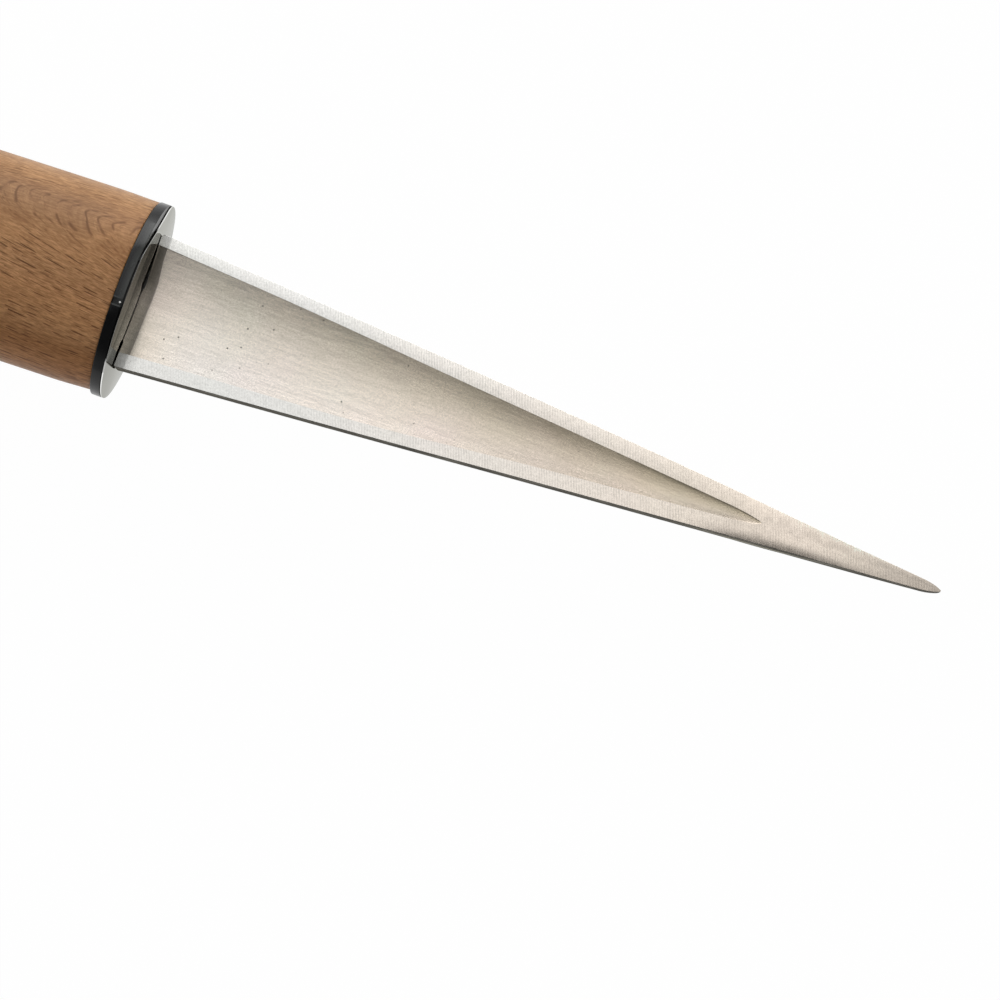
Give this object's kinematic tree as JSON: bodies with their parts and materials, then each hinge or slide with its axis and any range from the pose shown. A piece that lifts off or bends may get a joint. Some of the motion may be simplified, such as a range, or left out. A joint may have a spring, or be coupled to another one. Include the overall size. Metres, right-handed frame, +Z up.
{
  "type": "ice knife",
  "caption": "ice knife with a long tapered hollow-ground steel blade on a through tang, an oval polished bolster plate, a black spacer and a beech grip",
  "frame": {"origin": "on the surface that the knife lies on, under the middle of its length and width", "axes": "+X along the knife towards the blade's point, +Y across the blade, +Z up, out of the blade's upper face"},
  "size_m": [0.2684, 0.0364, 0.0291],
  "materials": {
    "ground_steel": "ground across the rims and along the hollow, satin",
    "polished_steel": "polished stainless steel",
    "black_plastic": "smooth black",
    "beech": "steamed beech with short dark flecks, oiled",
    "zinc_steel": "zinc plated"
  },
  "bodies": {
    "root": {"blade": "ground_steel", "bolster_plate": "polished_steel", "spacer": "black_plastic", "grip": "beech", "butt_plug": "beech", "tang_washer": "zinc_steel", "spring_washer": "zinc_steel", "tang_nut": "zinc_steel"}
  },
  "joints": []
}
